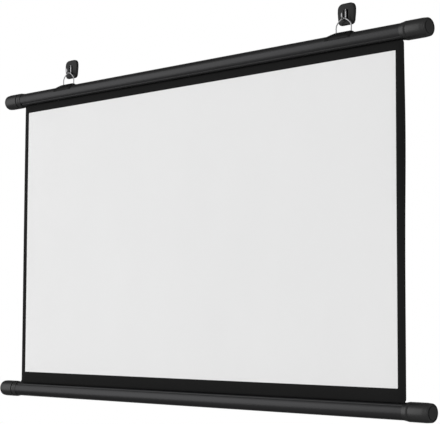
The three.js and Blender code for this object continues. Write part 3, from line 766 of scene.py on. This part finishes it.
def makeSaddle(side):
    node = f"{side}_saddle"
    middle, (y, z) = middleOf(node)[0], axisOf("left_case_end_knob")
    pivotY, pivotZ = joints["case_tilt"]["pos_m"][1:]
    half = saddle["length"] / 2
    stations = []
    for end, slope in ((-1, saddle["leftSlope"]), (1, saddle["rightSlope"])):
        stations += [(end * (half - slope * share), sin(pi / 2 * share) ** saddle["slopePower"])
                     for share in spread(0, 1, saddle["slopeSteps"])[::-end]]
    rings = [[(middle + x, y + a, z + b) for a, b in saddleOutline(height)] for x, height in stations]
    made = skin(f"{side}Saddle", rings, "saddle")
    top = z + tube["radius"] + saddle["rise"]
    high = top + saddle["room"]
    outer = tube["radius"] + saddle["rise"] - saddle["shift"]
    reachX, reachY, groove = saddle["pocketHalfX"], saddle["pocketHalfY"], saddle["grooveHalf"]
    floor = z + sqrt(tube["radius"] ** 2 - (pivotY + reachY - y) ** 2) - saddle["pocketSink"]
    start, end, steps = saddle["grooveStart"], saddle["grooveEnd"], saddle["grooveSteps"]
    sector = arc(outer - saddle["grooveDepth"], start, end, steps, y, z + saddle["shift"])
    sector += arc(outer + saddle["grooveRoom"], end, start, steps, y, z + saddle["shift"])
    cutters = []
    for sign in sides.values():
        x, hole = middle + sign * saddle["ringHalf"], middle + sign * saddle["screwX"]
        cutters += [
            box((x - reachX, pivotY - reachY, floor), (x + reachX, pivotY + reachY, high)),
            rod((x - sign * saddle["foot"], pivotY, pivotZ), (x, pivotY, pivotZ), saddle["boreRadius"]),
            cutter([[(x + across, a, b) for a, b in sector] for across in (-groove, groove)]),
            rod((hole, y, top - saddle["screwRecess"]), (hole, y, high), cap["recessRadius"]),
            rod((hole, y, top - saddle["screwDepth"]), (hole, y, top), cap["holeRadius"]),
        ]
    seat(carve(made, cutters, "saddle"), "case", "black_plastic", node)


for side in sides:
    makeSaddle(side)
print("saddles shaped")


# Wall hooks: a domed plate, a bent steel arm and its rivet
hook = {
    "width": 0.062,
    "height": 0.062,
    "lowWidth": 0.0546,
    "topCorner": (0.021, 10),
    "waist": 0.002,  # height at which the sides begin to draw in
    "waistCorner": (0.03, 6),
    "lowCorner": (0.0136, 10),
    "mostRound": 0.7,  # how much of an edge its corners may take
    "back": -0.0015,
    "front": -0.010,
    "bevel": 0.0036,
    "bevelSteps": 9,
    "crown": 0.0006,
    "crownSteps": 7,
    "backEdge": 0.0005,
    "channelHalf": 0.0028,
    "channelDepth": 0.001,
    "channelTop": 0.0143,
    "channelFoot": -0.0164,
    "hollowStart": 0.0031,
    "hollowEnd": 0.0088,
    "hollowTop": 0.0125,
    "hollowFoot": -0.0185,
    "hollowDepth": 0.0055,
    "hollowCorner": (0.002, 4),
    "room": 0.003,  # how far the cutters stand out
    "holeRoom": 0.001,
    "rivetHeight": 0.009,
    "rivetHole": 0.0016,
    "rivetDepth": 0.0048,
    "armWidth": 0.0046,
    "armThickness": 0.0016,
    "armPoint": 0.007,  # the length over which an end narrows to its tip
    "armEdge": 0.0005,
    "armEdgeSteps": 3,
    "armLeast": 0.004,  # the square of its share of the width at the tips
    "armSteps": 24,
    "bendRadius": 0.0088,
    "bendSteps": 30,
    "tipHeight": 0.0,
    "tipSteps": 12,
}


def plateOutline(inset):
    half, low, tall = hook["width"] / 2, hook["lowWidth"] / 2, hook["height"] / 2
    right = [(half, tall) + hook["topCorner"], (half, hook["waist"]) + hook["waistCorner"],
             (low, -tall) + hook["lowCorner"]]
    left = [(-point[0],) + point[1:] for point in right[::-1]]
    outline = softened(right + left, hook["mostRound"])
    moved = []
    for i, point in enumerate(outline):
        along = Vector(outline[(i + 1) % len(outline)]) - Vector(outline[i - 1])
        off = Vector((-along.y, along.x)).normalized()
        if off.dot(Vector(point)) > 0:
            off = -off
        moved.append(tuple(Vector(point) + off * inset))
    return moved


# A flat outline upright at the depth y
def upright(outline, x, y, share=1):
    return [(x + across * share, y, up * share) for across, up in outline]


# A hollow with round corners on each side of the strip that the arm lies on
def makeHollow(x, end):
    near, far = x + end * hook["hollowStart"], x + end * hook["hollowEnd"]
    foot, top = hook["hollowFoot"], hook["hollowTop"]
    corners = (near, foot), (far, foot), (far, top), (near, top)
    outline = softened([corner + hook["hollowCorner"] for corner in corners])
    depths = hook["front"] - hook["room"], hook["front"] + hook["hollowDepth"]
    return cutter([upright(outline, 0, y) for y in depths])


def makePlate(side, x):
    front, bevel = hook["front"] + hook["crown"], hook["bevel"] - hook["crown"]
    levels = [(hook["backEdge"], hook["back"]), (0, hook["back"] - hook["backEdge"])]
    for turn in spread(0, pi / 2, hook["bevelSteps"]):
        levels.append((hook["bevel"] * (1 - cos(turn)), front + bevel * (1 - sin(turn))))
    rings = [upright(plateOutline(inset), x, y) for inset, y in levels]
    outline = plateOutline(hook["bevel"])
    for share in spread(1, 0, hook["crownSteps"])[1:-1]:
        rings.append(upright(outline, x, front - hook["crown"] * (1 - share ** 2), share))
    made = skin(f"{side}HookPlate", rings, "hook")
    half = hook["channelHalf"]
    floor = hook["front"] + hook["channelDepth"]
    channel = box((x - half, hook["front"] - hook["room"], hook["channelFoot"]),
                  (x + half, floor, hook["channelTop"]))
    height = hook["rivetHeight"]
    hole = rod((x, floor - hook["holeRoom"], height), (x, floor + hook["rivetDepth"], height), hook["rivetHole"])
    cutters = [channel, hole] + [makeHollow(x, end) for end in (-1, 1)]
    seat(carve(made, cutters, "hook"), "wall_hooks", "black_plastic", f"{side}_hook_plate")


# The arm's middle line runs down the plate, round the bend and up to the tip
def armPath(node):
    low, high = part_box(node)
    radius = hook["bendRadius"]
    strip = high.y - hook["armThickness"] / 2
    centre = low.z + radius + hook["armThickness"] / 2
    tip = joints["ring_swing"]["pos_m"][1] - radius
    path = [(strip, z) for z in spread(high.z, centre, hook["armSteps"])[:-1]]
    path += arc(radius, 0, -pi, hook["bendSteps"], strip - radius, centre)
    return path + [(tip, z) for z in spread(centre, hook["tipHeight"], hook["tipSteps"])[1:]]


def makeArm(side, x):
    node = f"{side}_hook_arm"
    path = armPath(node)
    lengths = [0]
    for a, b in zip(path, path[1:]):
        lengths.append(lengths[-1] + (Vector(b) - Vector(a)).length)
    rings = []
    for point, off, length in zip(path, crossings(path), lengths):
        near = min(length, lengths[-1] - length) / hook["armPoint"]
        share = sqrt(max(1 - (1 - min(near, 1)) ** 2, hook["armLeast"]))
        half, thin = hook["armWidth"] / 2 * share, hook["armThickness"] / 2
        edge = (min(hook["armEdge"], half * 0.6), hook["armEdgeSteps"])
        corners = (half, thin), (-half, thin), (-half, -thin), (half, -thin)
        rings.append([(x + across, point[0] + off.x * out, point[1] + off.y * out)
                      for across, out in softened([corner + edge for corner in corners])])
    made = skin(f"{side}HookArm", rings, "bright")
    height, strip, room = hook["rivetHeight"], path[0][0], hook["room"]
    hole = rod((x, strip - room, height), (x, strip + room, height), hook["rivetHole"])
    seat(carve(made, [hole], "bright"), "wall_hooks", "steel", node)


hangers = {side: middleOf(f"{side}_hook_plate")[0] for side in sides}
for side, x in hangers.items():
    makePlate(side, x)
    makeArm(side, x)
print("hooks shaped")


# Rings of bent wire: two on one body
wire = {
    "radius": 0.0018,
    "sides": 16,
    "step": 0.0006,
    "half": 0.027,
    "arch": 0.019,
    "foot": 0.006,
    "corner": 0.0026,
    "cornerStart": 1.6,  # in corner radii before the foot
    "cornerMiddle": 0.29,
    "archLine": [(0, 0), (0.31, 0.14), (0.64, 0.44), (0.9, 0.83), (1, 1.25)],
}


def ringLine(x):
    top, foot = joints["ring_swing"]["pos_m"], joints["case_tilt"]["pos_m"]
    length = Vector(top[1:]) - Vector(foot[1:])
    tall, half, corner = length.length, wire["half"], wire["corner"]
    start, bend = corner * wire["cornerStart"], corner * wire["cornerMiddle"]
    line = [(half * across, wire["arch"] * down) for across, down in wire["archLine"]]
    line += [(half, (wire["arch"] + tall) / 2), (half, tall - start), (half, tall - corner)]
    line += [(half - bend, tall - bend), (half - corner, tall), (half - wire["foot"], tall)]
    both = [(-across, down) for across, down in line[:0:-1]] + line
    return [(x + across, top[1] + (foot[1] - top[1]) * down / tall, top[2] + (foot[2] - top[2]) * down / tall)
            for across, down in both]


def makeRings():
    points, edges = [], []
    for x in hangers.values():
        line = ringLine(x)
        edges += [(len(points) + i, len(points) + i + 1) for i in range(len(line) - 1)]
        points += line
    mesh = bpy.data.meshes.new("hangerRings")
    mesh.from_pydata(points, edges, [])
    tree = Pattern("ringTree", {"wire radius": wire["radius"], "sides": wire["sides"], "step": wire["step"]})
    line = tree.node("GeometryNodeMeshToCurve", {"Mesh": tree.size("Geometry")})
    line = tree.node("GeometryNodeCurveSplineType", {"Curve": line}, spline_type="BEZIER")
    line = tree.node("GeometryNodeCurveSetHandles", {"Curve": line}, handle_type="AUTO")
    line = tree.node("GeometryNodeResampleCurve", {"Curve": line, "Length": tree.size("step")}, mode="LENGTH")
    made = tree.run(piece("hangerRings", mesh), tree.sweep(line), "ring")
    seat(made, "hanger_rings", "steel", "left_hanger_ring", "right_hanger_ring")


makeRings()
print("rings bent")


# The return spring on its spindle
spring = {"radius": 0.0082, "wire": 0.0009, "turns": 18.0, "sides": 10, "pointsPerTurn": 32}


def makeSpring():
    low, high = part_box("return_spring")
    y, z = axisOf("spindle")
    tree = Pattern("springTree", {
        "turns": spring["turns"], "coil radius": spring["radius"], "wire radius": spring["wire"],
        "length": high.x - low.x - 2 * spring["wire"], "sides": spring["sides"]})
    radius = tree.size("coil radius")
    coil = tree.node("GeometryNodeCurveSpiral", {
        "Resolution": spring["pointsPerTurn"], "Rotations": tree.size("turns"), "Height": tree.size("length"),
        "Start Radius": radius, "End Radius": radius})
    place = (low.x + spring["wire"], y, z)
    laid = tree.node("GeometryNodeTransform", {
        "Geometry": tree.sweep(coil), "Rotation": (0, pi / 2, 0), "Translation": place})
    made = tree.run(piece("returnSpring", bpy.data.meshes.new("returnSpring")), laid, "zinc")
    seat(made, "case", "steel", "return_spring")


makeSpring()
print("spring wound")


# Screws and rivets
fastener = {
    "screw": {"radius": 0.0027, "height": 0.0014, "crown": 0.0004, "shank": 0.0014},
    "rivet": {"radius": 0.0024, "height": 0.001, "crown": 0.0007, "shank": 0.0013},
    "crownShare": 0.92,  # of the head's radius
    "crownSteps": 6,
    "edgeShare": 0.2,  # of the head's height
    "edgeSteps": 3,
    "shankSides": 24,
    "shankDrop": 0.47,  # of its length, so that it starts inside the head
    "crossWidth": 0.0006,
    "crossLength": 0.0028,
    "crossDepth": 0.0008,
    "turns": 40,
    "seed": 5,
}


def makeHead(kind):
    radius, height, crown = [fastener[kind][size] for size in ("radius", "height", "crown")]
    edge = (height * fastener["edgeShare"], fastener["edgeSteps"])
    profile = [(0, 0), (0, radius)]
    profile += softened([(0, radius), (height - crown, radius) + edge, (height, 0)])[1:-1]
    for share in spread(1, 0, fastener["crownSteps"]):
        profile.append((height - crown * share ** 2, radius * fastener["crownShare"] * share))
    head = turned("head", profile, fastener["turns"], "bright", lambda along, across, up: (across, up, along))
    if kind == "screw":
        wide, long = fastener["crossWidth"] / 2, fastener["crossLength"] / 2
        floor = height - fastener["crossDepth"]
        carve(head, [box((-wide, -long, floor), (wide, long, height * 2)),
                     box((-long, -wide, floor), (long, wide, height * 2))], "bright")
    return head


# Where a solid's head sits, which way it looks and how far its shank reaches
def headPlace(node, height):
    axis, sign = 2 if "saddle" in node else 1, -1 if "rivet" in node else 1
    low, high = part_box(node)
    near, far = (high, low) if sign > 0 else (low, high)
    place, aim = middleOf(node), [0, 0, 0]
    place[axis] = near[axis] - sign * height
    aim[axis] = sign
    return place, aim, abs(place[axis] - far[axis])


# A head on every point, turned to the point's own direction, and a shank under it
def fasten(name, body, kind, *words):
    owned = [each for each in nodes if any(word in each for word in words)]
    spots, aims, reaches = zip(*[headPlace(each, fastener[kind]["height"]) for each in owned])
    mesh = bpy.data.meshes.new(name)
    mesh.from_pydata(spots, [], [])
    parts = [part for aim in aims for part in aim]
    mesh.attributes.new("aim", "FLOAT_VECTOR", "POINT").data.foreach_set("vector", parts)
    mesh.attributes.new("reach", "FLOAT", "POINT").data.foreach_set("value", reaches)
    head = makeHead(kind)
    tree = Pattern(name + "Tree", {"head": head, "shank radius": fastener[kind]["shank"],
                                   "shank sides": fastener["shankSides"], "seed": fastener["seed"]})
    points = tree.size("Geometry")
    aim, reach = [tree.node("GeometryNodeInputNamedAttribute", {"Name": label}, data_type=data)
                  for label, data in (("aim", "FLOAT_VECTOR"), ("reach", "FLOAT"))]
    raised = tree.node("FunctionNodeAlignRotationToVector", {"Vector": aim}, axis="Z")
    angle = tree.node("FunctionNodeRandomValue", {2: 0.0, 3: pi, 8: tree.size("seed")}, 1, data_type="FLOAT")
    twist = tree.node("FunctionNodeAxisAngleToRotation", {"Axis": (0, 0, 1), "Angle": angle})
    turn = tree.node("FunctionNodeRotateRotation", {0: raised, 1: twist}, rotation_space="LOCAL")
    shape = tree.node("GeometryNodeObjectInfo", {"Object": tree.size("head")}, "Geometry")
    heads = tree.node("GeometryNodeInstanceOnPoints", {"Points": points, "Instance": shape, "Rotation": turn})
    sizes = {"Vertices": tree.size("shank sides"), "Radius": tree.size("shank radius"), "Depth": 1.0}
    shank = tree.node("GeometryNodeMeshCylinder", sizes)
    hung = tree.node("GeometryNodeTransform", {"Geometry": shank, "Translation": (0, 0, -fastener["shankDrop"])})
    length = tree.node("ShaderNodeCombineXYZ", {"X": 1.0, "Y": 1.0, "Z": reach})
    shanks = tree.node("GeometryNodeInstanceOnPoints",
                       {"Points": points, "Instance": hung, "Rotation": turn, "Scale": length})
    both = tree.node("GeometryNodeJoinGeometry", {"Geometry": [heads, shanks]})
    made = tree.run(piece(name, mesh), both, "bright")
    bpy.data.objects.remove(head)
    seat(made, body, "steel", *owned)


fasten("caseScrews", "case", "screw", "case_knob_screw", "saddle_screw")
fasten("barScrews", "weight_bar", "screw", "bar_knob_screw")
fasten("hookRivets", "wall_hooks", "rivet", "rivet")
print("screws and rivets set")


# The hanging cloth
sheet = {
    "sideBand": 0.024,
    "topBand": 0.0246,
    "bottomBand": 0.036,
    "curlStart": 0.004,  # how far inside the border its edge begins to turn back
    "leftCurl": 0.0036,
    "rightCurl": 0.0043,
    "rightBulge": 0.0056,  # more curl on the right, high up
    "bulgePlace": 0.28,
    "bulgeLength": 0.23,
    "curlPower": 1.8,
    "topFade": 0.009,  # of its length
    "lowFade": 0.007,  # above the bar
    "belly": 0.001,
    "bellyAcross": 9,
    "bellyShift": 2.2,
    "bellyDown": 5.1,
    "bellyFall": 0.4,
    "thickness": 0.0004,
    "bandColumns": 5,
    "bandRows": 12,
    "columns": 64,
    "rows": 72,
    "foldRoom": 0.006,
    "hemGap": 0.35,  # the part of a turn that the hem leaves open round its rod
    "hemSteps": 36,
    "backFacing": 0.9,
}

sheetLow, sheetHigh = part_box("screen_fabric")
sheetY, sheetHalf = middleOf("screen_fabric")[1], sheetHigh.x
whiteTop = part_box("case_tube")[0].z - sheet["topBand"]
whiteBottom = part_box("bar_tube")[1].z + sheet["bottomBand"]
whiteHalf = sheetHalf - sheet["sideBand"]


# How far the cloth stands back: share is the place along it, from 0 at its top
def sheetDepth(x, share):
    fade = smooth(share, 0, sheet["topFade"])
    width = sheet["sideBand"] + sheet["curlStart"]
    near = max(0, 1 - (sheetHalf - abs(x)) / width)
    high = exp(-((share - sheet["bulgePlace"]) / sheet["bulgeLength"]) ** 2)
    curl = sheet["leftCurl"] if x < 0 else sheet["rightCurl"] + sheet["rightBulge"] * high
    belly = sheet["belly"] * (1 + sin(sheet["bellyAcross"] * x + sheet["bellyShift"])) / 2
    belly *= 1 - sheet["bellyFall"] * (1 - sin(sheet["bellyDown"] * share))
    return (curl * near ** sheet["curlPower"] - belly) * fade


def makeColumns():
    band = spread(whiteHalf, sheetHalf, sheet["bandColumns"])[1:]
    return [-x for x in band[::-1]] + spread(-whiteHalf, whiteHalf, sheet["columns"]) + band


def makeSheet(columns):
    rows = spread(sheetHigh.z, whiteTop, sheet["bandRows"])[:-1] + spread(whiteTop, whiteBottom, sheet["rows"])
    points, faces, finish = [], [], []
    width = len(columns)
    for y in (sheetY - sheet["thickness"] / 2, sheetY + sheet["thickness"] / 2):
        for z in rows:
            share = (rows[0] - z) / (rows[0] - rows[-1])
            points += [(x, y + sheetDepth(x, share), z) for x in columns]
    back = width * len(rows)
    for i in range(len(rows) - 1):
        for j in range(width - 1):
            a, b = i * width + j, i * width + j + 1
            c, d = b + width, a + width
            faces += [(a, d, c, b), (a + back, b + back, c + back, d + back)]
            across, up = (columns[j] + columns[j + 1]) / 2, (rows[i] + rows[i + 1]) / 2
            finish += [0 if abs(across) < whiteHalf and up < whiteTop else 1, 2]
    last = back - width
    rim = [*range(width), *range(2 * width - 1, back, width)]
    rim += [*range(back - 2, last - 1, -1), *range(last - width, 0, -width)]
    for a, b in zip(rim, rim[1:] + rim[:1]):
        faces.append((a, b, b + back, a + back))
        finish.append(1)
    mesh = bpy.data.meshes.new("hangingSheet")
    mesh.from_pydata(points, [], faces)
    mesh.polygons.foreach_set("material_index", finish)
    finishMesh(mesh, ["white", "border", "back"])
    return seat(piece("hangingSheet", mesh), "case", "white_fabric", "screen_fabric")


# The black band above the bar, with the hem round its rod
def makeLowerBand(columns):
    rodY, rodZ = axisOf("hem_rod")
    foot = sheetLow.z
    path = [(sheetY, z) for z in spread(whiteBottom, foot, sheet["bandRows"])] + [(sheetY, rodZ)]
    path += arc(sheetY - rodY, 0, -2 * pi + sheet["hemGap"], sheet["hemSteps"], rodY, rodZ)[1:]
    outline = ribbon(path, sheet["thickness"])

    def depth(x, z):
        return sheetDepth(x, 1) * smooth(z, foot, foot + sheet["lowFade"])

    made = skin("lowerBand", [[(x, y + depth(x, z), z) for y, z in outline] for x in columns], ["border", "back"])
    for face in made.data.polygons:
        if face.normal.y > sheet["backFacing"] and face.center.z > foot:
            face.material_index = 1
    return seat(made, "weight_bar", "black_fabric", "fabric_hem")


columns = makeColumns()
hangingSheet, lowerBand = makeSheet(columns), makeLowerBand(columns)
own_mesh(hangingSheet)
print("cloth hung")


# Everything that shows only its own CAD shape gets its finish
finishes = {
    "nylon": ["bush", "plug", "anchor", "hem_rod"],
    "bright": ["screw", "rivet", "arm", "hanger_ring", "pawl_pin"],
    "zinc": ["bracket", "spindle", "lock_wheel", "roller_tube", "pawl", "idle_pin", "ballast_rod",
             "return_spring"],
    "foam": ["pad"],
    "border": ["leader", "fabric_hem", "screen_fabric"],
    "saddle": ["saddle"],
    "hook": ["plate"],
    "cap": ["collar", "knob"],
    "tube": ["case_tube", "bar_tube"],
}

for name, node in nodes.items():
    found = [look for look, words in finishes.items() for word in words if word in name]
    node.data.materials.clear()
    node.data.materials.append(looks[found[0]])
print("CAD nodes finished")


# Floor, light and surroundings
studio = {
    "floorDrop": 5.0,  # under the weight bar
    "floorSize": 400,
    "floorLevel": 0.9,
    "shadowNear": 1.6,
    "shadowFar": 4.0,
    "floorGlow": 0.5,  # how much of its own white the floor shows next to the object
    "key": {"place": (-11.6, -9.0, 1.6), "target": (5.0, 0.0, -0.5), "size": (11.0, 15.0), "radiance": 3.3},
    "fill": {"place": (6.0, -7.5, 0.6), "target": (0.4, 0.0, -0.5), "size": (5.0, 5.0), "radiance": 2.3},
    "ambient": 0.42,
}


def makeLamp(name):
    given = studio[name]
    data = bpy.data.lights.new(name, "AREA")
    data.shape = "RECTANGLE"
    data.size, data.size_y = given["size"]
    data.energy = given["radiance"] * pi * data.size * data.size_y
    lamp = bpy.data.objects.new(name, data)
    aim = Vector(given["target"]) - Vector(given["place"])
    lamp.matrix_world = Matrix.Translation(given["place"]) @ aim.to_track_quat("-Z", "Y").to_matrix().to_4x4()
    lamp.visible_camera = False
    bpy.context.collection.objects.link(lamp)


def seenWhite(look):
    rays = [look.node("ShaderNodeLightPath", out=f"Is {kind} Ray")
            for kind in ("Camera", "Glossy", "Transmission")]
    return look.node("ShaderNodeClamp", {"Value": rays[0] + rays[1] + rays[2]})


def makeWorld():
    world = bpy.data.worlds.new("studio")
    bpy.context.scene.world = world
    look = Look("studio", world)
    plain, white = [look.node("ShaderNodeBackground", {"Color": (1, 1, 1, 1), "Strength": strength})
                    for strength in (studio["ambient"], 1.0)]
    both = look.node("ShaderNodeMixShader", {0: seenWhite(look), 1: plain, 2: white})
    look.node("ShaderNodeOutputWorld", {"Surface": both})


def makeFloor():
    low = cadBox[0].z - studio["floorDrop"]
    reach = studio["floorSize"] / 2
    corners = [(x * reach, y * reach, low) for x, y in ((-1, -1), (1, -1), (1, 1), (-1, 1))]
    look = Look("paleFloor")
    plain = look.node("ShaderNodeBsdfDiffuse", {"Color": (*[studio["floorLevel"]] * 3, 1)})
    glow = look.node("ShaderNodeEmission", {"Color": (1, 1, 1, 1), "Strength": 1.0})
    flat = look.coordinates((1, 1, 0))
    here = look.node("ShaderNodeVectorMath", {0: flat}, "Value", operation="LENGTH")
    away = look.step(here, studio["shadowNear"], studio["shadowFar"])
    share = seenWhite(look) * (away * (1 - studio["floorGlow"]) + studio["floorGlow"])
    both = look.node("ShaderNodeMixShader", {0: share, 1: plain, 2: glow})
    look.node("ShaderNodeOutputMaterial", {"Surface": both})
    mesh = bpy.data.meshes.new("floor")
    mesh.from_pydata(corners, [], [(0, 1, 2, 3)])
    mesh.materials.append(look.material)
    piece("floor", mesh)


makeWorld()
makeFloor()
makeLamp("key")
makeLamp("fill")
bpy.context.scene.view_settings.view_transform = "Standard"
print("studio lit")
